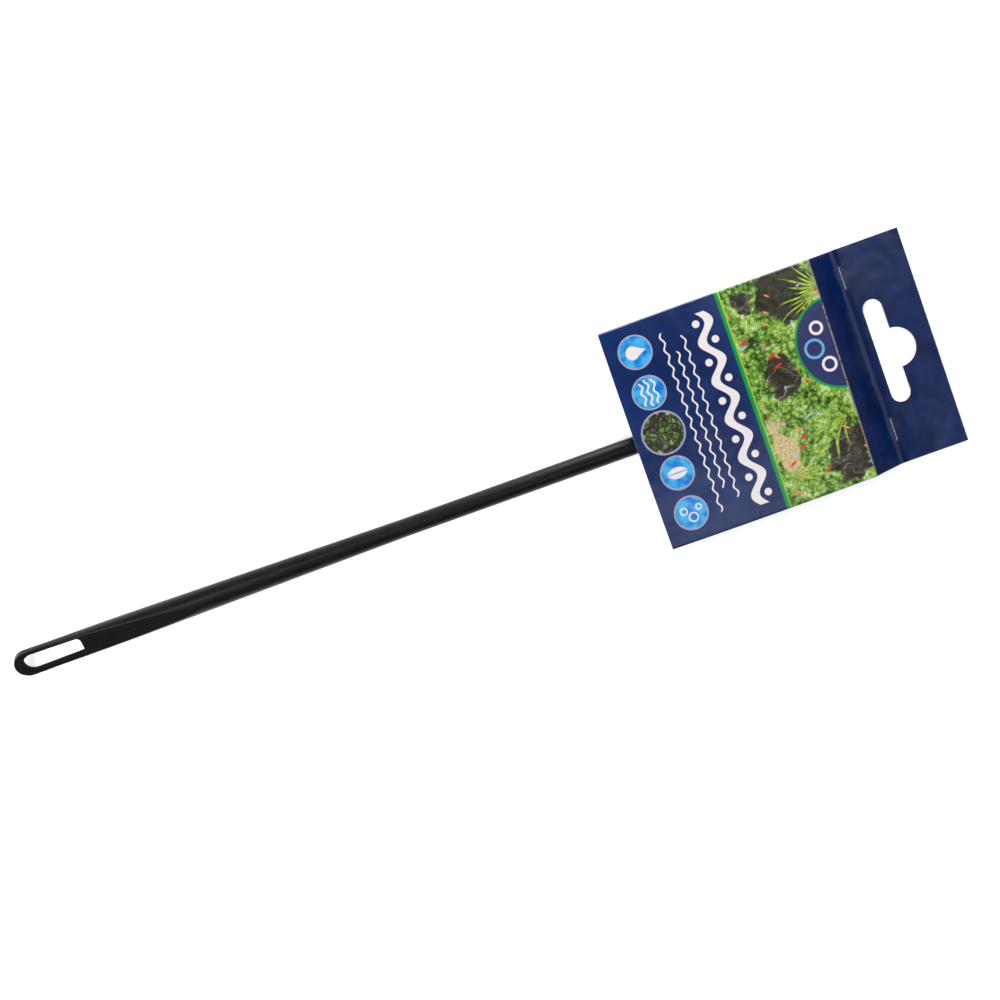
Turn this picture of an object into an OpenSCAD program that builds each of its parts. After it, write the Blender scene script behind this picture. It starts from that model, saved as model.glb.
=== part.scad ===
// Aquarium fish net in its card sleeve, lying on its back.
// X runs along the handle, from the tip of its eye at -X to the hang tab at +X.
// Y runs across the sleeve. Z points up, out of the sleeve's front, and Z = 0 is the table.
// All sizes are in millimetres.

/* [Handle] */
// Length of handle outside the sleeve, from the tip of the eye to the sleeve's mouth
handle_show_l = 194.1; // [160:0.1:230]
// Length of handle inside the sleeve
handle_hidden_l = 6.2; // [4:0.1:9]
// Diameter of the round rod
rod_d = 5.4; // [4.9:0.1:6]
// Length from the tip to where the taper meets the rod
taper_l = 122; // [100:1:150]
// Width of the handle at its eye
eye_w = 8.7; // [8:0.1:9.5]
// Length from the tip over which the handle keeps the width of the eye
eye_even_l = 3; // [2:0.5:14]
// Turn of the flat eye about the handle's own axis, in degrees
eye_roll = 30; // [10:1:45]
// Thickness of the eye
eye_t = 2.1; // [1.8:0.1:3]
// Length from the tip over which the handle is as thin as the eye
eye_flat_l = 12; // [8:0.5:18]
// Length over which the flats of the eye run out into the round taper
ramp_l = 47; // [30:1:60]

/* [Eye slot] */
// Length of the slot in the eye
slot_l = 18.3; // [12:0.1:20]
// Width of the slot in the eye
slot_w = 6; // [4.5:0.1:6.1]
// Plastic left between the tip and the slot
slot_tip_t = 2.9; // [1.5:0.1:4]
// Corner radius at the slot's inner end
slot_corner_r = 1.2; // [0.6:0.1:1.8]

/* [Net frame] */
// Distance by which the handle and the net lie to the +Y side of the sleeve's middle
net_y = -1.1; // [-3:0.1:3]
// Diameter of the steel wire
wire_d = 1.5; // [1.2:0.05:1.6]
// Thickness of the plastic coating on the wire
coat_t = 0.3; // [0.2:0.02:0.32]
// Gap between the two legs of the wire where they lie side by side
leg_gap = 0.06; // [0.04:0.01:0.1]
// Length of wire leg inside the handle's socket
leg_l = 16; // [10:1:20]
// Length from the handle's end to the corner where the legs part
neck_l = 3.5; // [3:0.1:4.5]
// Length of the sloping shoulders, measured along X
shoulder_l = 7; // [5:0.5:9]
// Length from the shoulders to the far side of the frame
loop_l = 50; // [44:0.5:51]
// Width of the frame at its shoulders, between the corners of its centre line
near_w = 44; // [38:0.5:50]
// Clearance between the hem and the sleeve's side wall that it lies nearer to
side_gap = 1.47; // [0.5:0.01:4]
// Bend radius where the legs part
neck_r = 2.5; // [2:0.1:3.5]
// Bend radius at the shoulders
near_r = 12; // [9:0.5:14]
// Bend radius at the far corners
far_r = 11; // [9:0.5:13]

/* [Mesh bag] */
// Thickness of the hem tape
tape_t = 0.35; // [0.25:0.05:0.45]
// Width of the sewn flange of the hem tape, measured from the wire's coating
flange_w = 3.6; // [3:0.1:4.5]
// Length along the shoulders that the hem tape leaves bare, from the middle of the neck
hem_start_w = 5; // [4:0.5:8]
// Thickness of the folded bag
bag_t = 1.75; // [1.2:0.05:1.9]
// Width of the bag's edge that is caught under the flange
bag_lap_w = 2; // [1.5:0.1:2.5]
// Clearance between the bag and the flange
bag_gap = 0.05; // [0.03:0.01:0.1]
// Pitch of the gaps in the mesh
mesh_pitch = 3.2; // [3.1:0.1:4]
// Width of a strand between two gaps
strand_w = 0.7; // [0.5:0.1:1]
// Length of one hem stitch
stitch_l = 1.7; // [1:0.1:2]
// Pitch of the hem stitches
stitch_pitch = 2.8; // [2.5:0.1:4]
// Thickness of the sewing thread
thread_t = 0.3; // [0.2:0.05:0.35]
// Length of the bag's seam
seam_l = 44; // [30:1:48]
// Width of the bag's seam
seam_w = 1.6; // [1:0.1:2.5]

/* [Card sleeve] */
// Width of the sleeve and of its hang tab
sleeve_w = 66.9; // [65:0.1:80]
// Depth of the sleeve from the table to its printed front
sleeve_h = 12; // [11.5:0.1:16]
// Length of the printed front panel
front_l = 64.2; // [62:0.1:80]
// Length by which the front reaches past the back and the side walls at the mouth
lip_l = 1.3; // [0:0.1:1.4]
// Length of the sloping panel, measured along X
bevel_run = 10.7; // [8:0.1:14]
// Length of the hang tab
tab_l = 20.2; // [18:0.1:30]
// Thickness of the board
board_t = 0.45; // [0.3:0.05:0.5]
// Width of the glue flap
flap_w = 9; // [6:0.5:12]
// Distance of the glue flap's ends from the ends of the front panel
flap_end = 1.5; // [1:0.5:4]
// Clearance between the net and the board that it slides on
slide_gap = 0.3; // [0.25:0.05:0.4]

/* [Hang hole] */
// Length of the hang hole's slot
hole_l = 32; // [26:0.5:34]
// Width of the hang hole's slot
hole_w = 6; // [5:0.1:7]
// Radius of the round bay in the middle of the slot
bay_r = 6; // [5:0.1:6.5]
// Distance from the tab's crease to the middle of the slot
hole_x = 5.8; // [5:0.05:7]
// Length of the cut in the crease at each side
nick_l = 7.4; // [4:0.1:9]
// Distance from the tab's sides to the cuts in the crease
nick_edge = 5; // [3:0.1:8]
// Width of the cuts in the crease
nick_w = 0.3; // [0.2:0.05:0.5]

/* [Hidden] */
$fn = 96;

// Overrun of every cut past the face that it leaves
over = 1;
// Clearances inside the net: around the coated legs, past their ends, round the wire and round its coating
socket_gap = 0.05;
leg_end_gap = 1;
skin_gap = 0.01;
wrap_gap = 0.03;
// Sides of the wire's section, and the largest angle between two sections of a bend
wire_sides = 12;
bend_step = 9;
// How much the round tip is drawn in from the full width of the eye, and over what length
tip_inset = 0.1;
tip_blend_l = 10;
// How far the flats stand off the round taper where they run out
flat_runout = 0.1;
// Number of steps along the taper in which its lowest point is looked for
rest_steps = 80;

// Places along X
total_l = handle_show_l + front_l + bevel_run + tab_l;
tip_x = -total_l / 2;
mouth_x = tip_x + handle_show_l;
wall_x = mouth_x + lip_l;
fold_x = mouth_x + front_l;
crease_x = fold_x + bevel_run;
end_x = crease_x + tab_l;
handle_l = handle_show_l + handle_hidden_l;
handle_end_x = tip_x + handle_l;
leg_x = handle_end_x - leg_l;
neck_x = handle_end_x + neck_l;
near_x = neck_x + shoulder_l;
far_x = near_x + loop_l;

// Sizes that follow from others
coated_d = wire_d + 2 * coat_t;
leg_y = (coated_d + leg_gap) / 2;
socket_d = coated_d + 2 * socket_gap;
hem_in_d = coated_d + 2 * wrap_gap;
hem_out_d = hem_in_d + 2 * tape_t;
flange_in = coated_d / 2 + flange_w;
// Width of the frame at its far side, between the corners of its centre line
far_w = sleeve_w - 2 * (board_t + side_gap + abs(net_y)) - hem_out_d;
bevel_slope = (sleeve_h - 2 * board_t) / bevel_run;
bevel_board = board_t * sqrt(1 + bevel_slope * bevel_slope);
bevel_foot_x = crease_x - (bevel_board - board_t) / bevel_slope;

// Radius of the handle's round sides, against the distance from the tip
round_profile = [[0, eye_w / 2], [eye_even_l, eye_w / 2], [taper_l, rod_d / 2]];
// Half thickness of the handle between its flats, against the distance from the tip
runout_s = eye_flat_l + ramp_l;
flat_profile = [
    [0, eye_t / 2],
    [eye_flat_l, eye_t / 2],
    [runout_s, lookup(runout_s, round_profile) + flat_runout]
];

// Depth below the handle's axis of a round of radius r cut by flats at h and turned by eye_roll
function low_point(r, h) =
    h >= r || asin(h / r) >= 90 - eye_roll ? r : sin(eye_roll) * sqrt(r * r - h * h) + cos(eye_roll) * h;

// Height of the handle's axis, so that the eye end touches the table and the rod clears the board
rest_places = concat(
    [for (corner = flat_profile) corner.x],
    [for (i = [0:rest_steps]) taper_l * i / rest_steps]
);
handle_z = max(
    rod_d / 2 + board_t + slide_gap,
    max([for (s = rest_places) low_point(lookup(s, round_profile), lookup(s, flat_profile))])
);
bag_top_z = handle_z - tape_t - bag_gap;
bag_low_z = bag_top_z - bag_t;

// Centre line of the frame, from one leg round the loop to the other leg
frame_path = [
    [leg_x, -leg_y], [neck_x, -leg_y], [near_x, -near_w / 2], [far_x, -far_w / 2],
    [far_x, far_w / 2], [near_x, near_w / 2], [neck_x, leg_y], [leg_x, leg_y]
];
frame_bends = [0, neck_r, near_r, far_r, far_r, near_r, neck_r, 0];

// The same loop without its neck, as the hem and the bag follow it
hem_share = (hem_start_w - leg_y) / (near_w / 2 - leg_y);
hem_x = neck_x + shoulder_l * hem_share;
hem_path = [
    [hem_x, -hem_start_w], [near_x, -near_w / 2], [far_x, -far_w / 2],
    [far_x, far_w / 2], [near_x, near_w / 2], [hem_x, hem_start_w]
];
hem_bends = [0, near_r, far_r, far_r, near_r, 0];

// Plane vectors, and a bend's turn to the left in degrees
function heading(v) = atan2(v.y, v.x);
function unit(v) = v / norm(v);
function left_of(v) = [-v.y, v.x];
function turn(a, b) = atan2(a.x * b.y - a.y * b.x, a * b);
function turned(v, angle) = [v.x * cos(angle) - v.y * sin(angle), v.x * sin(angle) + v.y * cos(angle)];

// Run from a corner to where its bend begins
function bend_run(path, bends, i) =
    i == 0 || i == len(path) - 1
        ? 0
        : bends[i] * tan(abs(turn(path[i] - path[i - 1], path[i + 1] - path[i])) / 2);
function bend_in(path, bends, i) = path[i] - unit(path[i] - path[i - 1]) * bend_run(path, bends, i);
function bend_out(path, bends, i) = path[i] + unit(path[i + 1] - path[i]) * bend_run(path, bends, i);

// A closed outline moved inwards by d; its corners run anticlockwise
function at(list, i) = list[(i + len(list)) % len(list)];
function inset_corner(p, d, i) =
    let (
        a = unit(at(p, i) - at(p, i - 1)),
        b = unit(at(p, i + 1) - at(p, i)),
        bisector = unit(left_of(a) + left_of(b))
    )
    at(p, i) + bisector * d / (bisector * left_of(a));
function inset(p, d) = [for (i = [0:len(p) - 1]) inset_corner(p, d, i)];

// True where a point lies inside a convex outline whose corners run anticlockwise
function inside(p, q) =
    min([for (i = [0:len(p) - 1]) (q - p[i]) * left_of(unit(at(p, i + 1) - p[i]))]) > 0;

// Places along a path with rounded bends, each with the heading there
function stations(path, bends) = [
    [path[0], heading(path[1] - path[0])],
    for (i = [1:len(path) - 2])
        let (
            into = path[i] - path[i - 1],
            bend = turn(into, path[i + 1] - path[i]),
            radius = left_of(unit(into)) * sign(bend) * bends[i],
            steps = ceil(abs(bend) / bend_step)
        )
        for (k = [0:steps])
            [
                bend_in(path, bends, i) + radius - turned(radius, bend * k / steps),
                heading(into) + bend * k / steps
            ],
    [path[len(path) - 1], heading(path[len(path) - 1] - path[len(path) - 2])]
];

// Outline points set across a path at one of its stations: +x goes to its left and +y up
function across(station, outline) = [
    for (q = outline) [
        station[0].x - q.x * sin(station[1]),
        station[0].y + q.x * cos(station[1]),
        q.y
    ]
];

// Regular outline of a round section, with a flat side facing the loop's inside
function ring(r) = [
    for (k = [0:wire_sides - 1]) turned([r, 0], (k + 1 / 2) * 360 / wire_sides)
];

// Triangles that join the outlines of two neighbouring stations, for n points from first on.
// The outlines lie stride apart in the list of points
function wall(first, n, stride, outward) = [
    for (k = [0:n - 1])
        let (
            a = first + k,
            b = first + (k + 1) % n,
            c = b + stride,
            d = a + stride
        )
        each outward ? [[a, d, c], [a, c, b]] : [[a, b, c], [a, c, d]]
];

// Solid with one outline swept along a path
module swept_bar(path, bends, outline) {
    n = len(outline);
    places = stations(path, bends);
    last = len(places) - 1;
    polyhedron(
        [for (s = places) each across(s, outline)],
        [
            [for (k = [0:n - 1]) k],
            for (m = [0:last - 1]) each wall(m * n, n, n, true),
            [for (k = [n - 1:-1:0]) last * n + k]
        ]
    );
}

// Hollow solid: the outer outline starts with as many points as the inner one has, each facing
// its own inner point, and any further points lie past the first and last of them
module swept_tube(path, bends, outer, inner) {
    n = len(outer);
    n_in = len(inner);
    both = n + n_in;
    places = stations(path, bends);
    last = (len(places) - 1) * both;
    cap = [
        for (k = [0:n_in - 2]) each [[k, k + 1, n + k + 1], [k, n + k + 1, n + k]],
        [n_in - 1, 0, n],
        [n_in - 1, n, n + n_in - 1],
        if (n > n_in) [for (k = [n_in - 1:n]) k % n]
    ];
    polyhedron(
        [for (s = places) each concat(across(s, outer), across(s, inner))],
        [
            each cap,
            for (m = [0:len(places) - 2]) each concat(
                wall(m * both, n, both, true),
                wall(m * both + n, n_in, both, false)
            ),
            for (face = cap) [for (k = [len(face) - 1:-1:0]) last + face[k]]
        ]
    );
}

// Rounded flat outline with exact arcs; its corners run anticlockwise
module rounded(p, r) {
    runs = [for (i = [0:len(p) - 1])
        r[i] * tan(turn(at(p, i) - at(p, i - 1), at(p, i + 1) - at(p, i)) / 2)];
    polygon([for (i = [0:len(p) - 1]) each [
        p[i] - unit(p[i] - at(p, i - 1)) * runs[i],
        p[i] + unit(at(p, i + 1) - p[i]) * runs[i]
    ]]);
    for (i = [0:len(p) - 1]) {
        a = unit(p[i] - at(p, i - 1));
        translate(p[i] - a * runs[i] + left_of(a) * r[i])
            circle(r[i]);
    }
}

// Round taper and rod of the handle, from the tip along +X
module handle_round() {
    rotate([0, 90, 0])
        rotate_extrude()
        polygon([
            [0, 0],
            [eye_w / 2, 0],
            [eye_w / 2, eye_even_l],
            [rod_d / 2, taper_l],
            [rod_d / 2, handle_l],
            [0, handle_l]
        ]);
}

// Wedge that leaves the two flats on the handle
module handle_flats() {
    upper = concat(flat_profile, [[taper_l, eye_w], [handle_l + over, eye_w]]);
    lower = [for (i = [len(upper) - 1:-1:0]) [upper[i].x, -upper[i].y]];
    rotate([90, 0, 0])
        linear_extrude(2 * eye_w, center = true)
        polygon(concat(upper, lower));
}

// Plan of the handle with its round tip
module handle_plan() {
    tip_r = eye_w / 2 - tip_inset;
    linear_extrude(4 * eye_w, center = true) {
        translate([tip_r, 0])
            circle(tip_r);
        polygon([
            [tip_r, -tip_r],
            [tip_r + tip_blend_l, -eye_w / 2 - over],
            [handle_l + over, -eye_w / 2 - over],
            [handle_l + over, eye_w / 2 + over],
            [tip_r + tip_blend_l, eye_w / 2 + over],
            [tip_r, tip_r]
        ]);
    }
}

// Slot through the eye: round towards the tip, square with small corners towards the rod
module eye_slot() {
    slot_end = slot_tip_t + slot_l;
    corner_y = slot_w / 2 - slot_corner_r;
    linear_extrude(eye_w, center = true) {
        translate([slot_tip_t + slot_w / 2, 0])
            circle(slot_w / 2);
        translate([slot_tip_t + slot_w / 2, -slot_w / 2])
            square([slot_l - slot_w / 2 - slot_corner_r, slot_w]);
        translate([slot_tip_t + slot_w / 2, -corner_y])
            square([slot_l - slot_w / 2, 2 * corner_y]);
        for (side = [-1, 1])
            translate([slot_end - slot_corner_r, side * corner_y])
                circle(slot_corner_r);
    }
}

// Long socket in the rod's end for the two coated legs
module leg_socket() {
    socket_l = leg_l + leg_end_gap;
    translate([handle_l - socket_l, 0, 0])
        rotate([90, 0, 90])
        linear_extrude(socket_l + over) {
            for (side = [-1, 1])
                translate([side * leg_y, 0])
                    circle(d = socket_d);
            square([2 * leg_y, socket_d], center = true);
        }
}

module handle() {
    color([0.07, 0.07, 0.08])
        translate([tip_x, net_y, handle_z])
        difference() {
            rotate([eye_roll, 0, 0])
                difference() {
                    intersection() {
                        handle_round();
                        handle_flats();
                        handle_plan();
                    }
                    eye_slot();
                }
            leg_socket();
        }
}

module frame_wire() {
    color([0.62, 0.62, 0.64])
        translate([0, net_y, handle_z])
        swept_bar(frame_path, frame_bends, ring(wire_d / 2));
}

module frame_coating() {
    color([0.1, 0.1, 0.11])
        translate([0, net_y, handle_z])
        swept_tube(frame_path, frame_bends, ring(coated_d / 2), ring(wire_d / 2 + skin_gap));
}

// Tape folded round the coated wire, with its two edges sewn into an inward flange
module hem_tape() {
    color([0.13, 0.13, 0.14])
        translate([0, net_y, handle_z])
        swept_tube(
            hem_path,
            hem_bends,
            concat(ring(hem_out_d / 2), [[flange_in, -tape_t], [flange_in, tape_t]]),
            ring(hem_in_d / 2)
        );
}

// One stitch lying along +X on top of the flange
module stitch() {
    translate([-stitch_l / 2, -thread_t / 2, handle_z + tape_t])
        cube([stitch_l, thread_t, thread_t]);
}

// Row of stitches along the middle of the flange
module hem_stitching() {
    row_in = (hem_out_d / 2 + flange_in) / 2;
    color([0.35, 0.36, 0.38])
        translate([0, net_y, 0]) {
            for (i = [0:len(hem_path) - 2]) {
                start = bend_out(hem_path, hem_bends, i);
                run = bend_in(hem_path, hem_bends, i + 1) - start;
                count = floor(norm(run) / stitch_pitch);
                for (k = [0:count - 1])
                    translate(start + run * (k + 1 / 2) / count + left_of(unit(run)) * row_in)
                        rotate([0, 0, heading(run)])
                        stitch();
            }
            for (i = [1:len(hem_path) - 2]) {
                into = hem_path[i] - hem_path[i - 1];
                bend = turn(into, hem_path[i + 1] - hem_path[i]);
                arc_r = hem_bends[i] - row_in;
                count = floor(arc_r * bend * PI / 180 / stitch_pitch);
                translate(bend_in(hem_path, hem_bends, i) + left_of(unit(into)) * hem_bends[i])
                    for (k = [0:count - 1])
                        rotate([0, 0, heading(into) + bend * (k + 1 / 2) / count])
                        translate([0, -arc_r, 0])
                        stitch();
            }
        }
}

// Folded bag: a flat net whose solid edge lies under the flange
module net_bag() {
    edge_in = flange_in - bag_lap_w;
    outline = inset(hem_path, edge_in);
    bends = [for (r = hem_bends) max(r - edge_in, edge_in)];
    mesh = inset(hem_path, flange_in + strand_w);
    gap = mesh_pitch - strand_w;
    across = floor(far_w / 2 / mesh_pitch);
    along = floor((far_x - neck_x) / mesh_pitch);
    color([0.09, 0.1, 0.11])
        translate([0, net_y, bag_low_z])
        linear_extrude(bag_t)
        difference() {
            rounded(outline, bends);
            for (i = [0:along], j = [-across:across]) {
                c = [far_x - flange_in - (i + 1 / 2) * mesh_pitch, j * mesh_pitch];
                corners = [for (a = [-1, 1], b = [-1, 1]) c + [a, b] * gap / 2];
                if (min([for (q = corners) inside(mesh, q) ? 1 : 0]) > 0)
                    translate(c)
                        square(gap, center = true);
            }
        }
}

// Sewn seam under the folded bag, from its neck end towards the far side
module bag_seam() {
    color([0.16, 0.16, 0.17])
        translate([far_x - flange_in - seam_l, net_y - seam_w / 2, bag_low_z - thread_t])
        cube([seam_l, seam_w, thread_t]);
}

module back_panel() {
    color([0.9, 0.89, 0.86])
        translate([wall_x, -sleeve_w / 2, 0])
        cube([crease_x - wall_x, sleeve_w, board_t]);
}

module front_panel() {
    color([0.05, 0.16, 0.38])
        translate([mouth_x, -sleeve_w / 2, sleeve_h - board_t])
        cube([front_l, sleeve_w, board_t]);
}

// Sloping panel from the fold of the front down to the crease of the tab
module bevel_panel() {
    color([0.02, 0.1, 0.28])
        rotate([90, 0, 0])
        linear_extrude(sleeve_w, center = true)
        polygon([
            [fold_x, sleeve_h],
            [fold_x, sleeve_h - bevel_board],
            [bevel_foot_x, board_t],
            [crease_x, board_t],
            [crease_x, 2 * board_t]
        ]);
}

// Side wall between the back, the front and the sloping panel
module side_wall(side) {
    color([0.05, 0.16, 0.38])
        translate([0, side * (sleeve_w - board_t) / 2, 0])
        rotate([90, 0, 0])
        linear_extrude(board_t, center = true)
        polygon([
            [wall_x, board_t],
            [bevel_foot_x, board_t],
            [fold_x, sleeve_h - bevel_board],
            [fold_x, sleeve_h - board_t],
            [wall_x, sleeve_h - board_t]
        ]);
}

module side_wall_left() {
    side_wall(1);
}

module side_wall_right() {
    side_wall(-1);
}

module glue_flap() {
    color([0.86, 0.85, 0.82])
        translate([mouth_x + flap_end, board_t - sleeve_w / 2, sleeve_h - 2 * board_t])
        cube([front_l - 2 * flap_end, flap_w, board_t]);
}

// Plan of the hang tab with its hang hole
module tab_plan() {
    difference() {
        translate([crease_x, -sleeve_w / 2])
            square([tab_l, sleeve_w]);
        translate([crease_x + hole_x, 0]) {
            square([hole_w, hole_l - hole_w], center = true);
            for (side = [-1, 1])
                translate([0, side * (hole_l - hole_w) / 2])
                    circle(d = hole_w);
            translate([hole_w / 2, 0])
                circle(bay_r);
        }
    }
}

// Front ply, with the two short cuts along the crease
module tab_front_ply() {
    color([0.12, 0.2, 0.4])
        translate([0, 0, board_t])
        linear_extrude(board_t)
        difference() {
            tab_plan();
            for (side = [-1, 1])
                translate([crease_x - over, side * (sleeve_w / 2 - nick_edge - nick_l / 2) - nick_l / 2])
                    square([over + nick_w, nick_l]);
        }
}

module tab_back_ply() {
    color([0.9, 0.89, 0.86])
        linear_extrude(board_t)
        tab_plan();
}

handle();
frame_wire();
frame_coating();
hem_tape();
hem_stitching();
net_bag();
bag_seam();
back_panel();
front_panel();
bevel_panel();
side_wall_left();
side_wall_right();
glue_flap();
tab_front_ply();
tab_back_ply();
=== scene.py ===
"""Looks of an aquarium fish net in its printed card sleeve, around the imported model.

Sizes are in millimetres in the frame's axes, and become metres where a mesh or a lamp is made.
"""

import math

import bmesh
import bpy
from mathutils import Matrix, Vector, geometry, noise


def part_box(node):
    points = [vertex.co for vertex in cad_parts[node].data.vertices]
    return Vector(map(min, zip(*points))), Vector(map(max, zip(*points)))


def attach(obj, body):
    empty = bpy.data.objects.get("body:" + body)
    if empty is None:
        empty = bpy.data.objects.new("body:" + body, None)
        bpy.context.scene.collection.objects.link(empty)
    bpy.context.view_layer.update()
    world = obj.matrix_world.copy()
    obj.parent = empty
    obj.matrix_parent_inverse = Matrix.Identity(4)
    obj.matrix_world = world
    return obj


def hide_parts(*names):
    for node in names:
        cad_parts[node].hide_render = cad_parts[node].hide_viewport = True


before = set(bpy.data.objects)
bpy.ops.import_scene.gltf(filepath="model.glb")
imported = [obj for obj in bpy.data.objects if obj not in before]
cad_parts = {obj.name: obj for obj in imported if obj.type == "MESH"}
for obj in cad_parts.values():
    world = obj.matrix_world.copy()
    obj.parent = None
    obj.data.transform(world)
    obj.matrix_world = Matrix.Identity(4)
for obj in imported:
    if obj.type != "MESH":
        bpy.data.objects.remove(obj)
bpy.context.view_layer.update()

MM = 0.001


def box_mm(node):
    """Lowest and highest corner of a CAD node, in millimetres"""
    low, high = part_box(node)
    return low / MM, high / MM


# Places that the pieces take from the CAD nodes
handle_low, handle_high = box_mm("handle")
front_low, front_high = box_mm("front_panel")
tab_low, tab_high = box_mm("tab_front_ply")
bag_low, bag_high = box_mm("net_bag")
TIP_X = handle_low.x
HANDLE_END_X = handle_high.x
AXIS_Z = (handle_low.z + handle_high.z) / 2
MOUTH_X = front_low.x
WALL_X = box_mm("back_panel")[0].x
FOLD_X = front_high.x
CREASE_X = tab_low.x
END_X = tab_high.x
HALF_W = front_high.y
SLEEVE_H = front_high.z
BOARD_T = front_high.z - front_low.z
TAB_T = tab_high.z

# How far the handle and the net lie to one side of the sleeve's middle
NET_Y = -1.1


# Meshes

def add_object(name, data):
    """New object in the scene from its data"""
    made = bpy.data.objects.new(name, data)
    bpy.context.scene.collection.objects.link(made)
    return made


def add_mesh(name, points, faces, materials, face_slots=None, middle_y=0):
    """New object from points in millimetres, with its faces' material numbers"""
    mesh = bpy.data.meshes.new(name)
    mesh.from_pydata([Vector((x, y + middle_y, z)) * MM for x, y, z in points], [], faces)
    for material in materials:
        mesh.materials.append(material)
    if face_slots:
        mesh.polygons.foreach_set("material_index", face_slots)
    mesh.update()
    return add_object(name, mesh)


def finish_mesh(piece, sharp_angle=40):
    """Merges doubled points, turns the faces outwards and shades smooth up to an angle in degrees"""
    made = bmesh.new()
    made.from_mesh(piece.data)
    bmesh.ops.remove_doubles(made, verts=made.verts, dist=MM / 1000)
    bmesh.ops.recalc_face_normals(made, faces=made.faces)
    for face in made.faces:
        face.smooth = True
    for edge in made.edges:
        edge.smooth = edge.calc_face_angle(0) < math.radians(sharp_angle)
    made.to_mesh(piece.data)
    made.free()
    return piece


def loft(rings, cap_start=True, cap_end=True, closed=True):
    """Points and faces of a skin over rings, or over open lines, that have equally many points"""
    count = len(rings[0])
    points = [p for ring in rings for p in ring]
    faces = []
    for m in range(len(rings) - 1):
        for k in range(count if closed else count - 1):
            a, b = m * count + k, m * count + (k + 1) % count
            faces.append((a, b, b + count, a + count))
    if cap_start:
        faces.append(tuple(range(count)))
    if cap_end:
        faces.append(tuple(range((len(rings) - 1) * count, len(rings) * count)))
    return points, faces


def between(x, table):
    """Value at x of a line through the (x, value) pairs of a table"""
    for (x0, v0), (x1, v1) in zip(table, table[1:]):
        if x <= x1:
            return v0 + (v1 - v0) * max(0, (x - x0) / (x1 - x0))
    return table[-1][1]


def steps(low, high, count):
    """count + 1 evenly spaced values from low to high"""
    return [low + (high - low) * i / count for i in range(count + 1)]


def polar(radius, degrees):
    return radius * math.cos(math.radians(degrees)), radius * math.sin(math.radians(degrees))


def arc(radius, start, end, count, x=0, y=0):
    """Points of an arc about (x, y), in count steps from one angle in degrees to another"""
    return [(x + a, y + b) for a, b in (polar(radius, angle) for angle in steps(start, end, count))]


def rounded_path(corners, radii, step=6):
    """Points along a line with rounded corners, a few degrees apart in its bends"""
    corners = [Vector(corner) for corner in corners]
    path = [corners[0]]
    for before, corner, after, radius in zip(corners, corners[1:], corners[2:], radii[1:]):
        a, b = (corner - before).normalized(), (after - corner).normalized()
        bend = -a.angle_signed(b)
        run = radius * math.tan(abs(bend) / 2)
        side = Vector((-a.y, a.x)) * math.copysign(radius, bend)
        centre = corner - a * run + side
        count = math.ceil(abs(math.degrees(bend)) / step)
        path += [centre - Matrix.Rotation(turn, 2) @ side for turn in steps(0, bend, count)]
    return path + [corners[-1]]


def spaced(path, gap):
    """The same line with points about a gap apart"""
    line = []
    for a, b in zip(path, path[1:]):
        count = max(1, round((b - a).length / gap))
        line += [a.lerp(b, i / count) for i in range(count)]
    return line + [path[-1]]


def headings(path):
    """Direction of a line at each of its points"""
    ends = [path[0], *path, path[-1]]
    return [(ends[i + 2] - ends[i]).normalized() for i in range(len(path))]


def lengths(path):
    """Distance along a line to each of its points"""
    total = [0.0]
    for a, b in zip(path, path[1:]):
        total.append(total[-1] + (b - a).length)
    return total


def sweep(path, outline, z):
    """Rings of a flat path's section: outline(run) gives (left, up) pairs at a distance along it"""
    rings = []
    for p, d, run in zip(path, headings(path), lengths(path)):
        left = Vector((-d.y, d.x))
        rings.append([(*(p + left * u), z + v) for u, v in outline(run)])
    return rings


def lay_uv(piece, rows, columns):
    """UV map in millimetres for a grid of points, from its rows' and columns' distances"""
    uv = piece.data.uv_layers.new(name="run")
    for loop in piece.data.loops:
        row, column = divmod(loop.vertex_index, len(columns))
        uv.data[loop.index].uv = (rows[row], columns[column])


# Materials

def srgb(red, green, blue):
    """Linear colour of a printed one, whose channels go from 0 to 255"""
    shares = [c / 255 for c in (red, green, blue)]
    return (*[c / 12.92 if c <= 0.04045 else ((c + 0.055) / 1.055) ** 2.4 for c in shares], 1.0)


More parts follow.
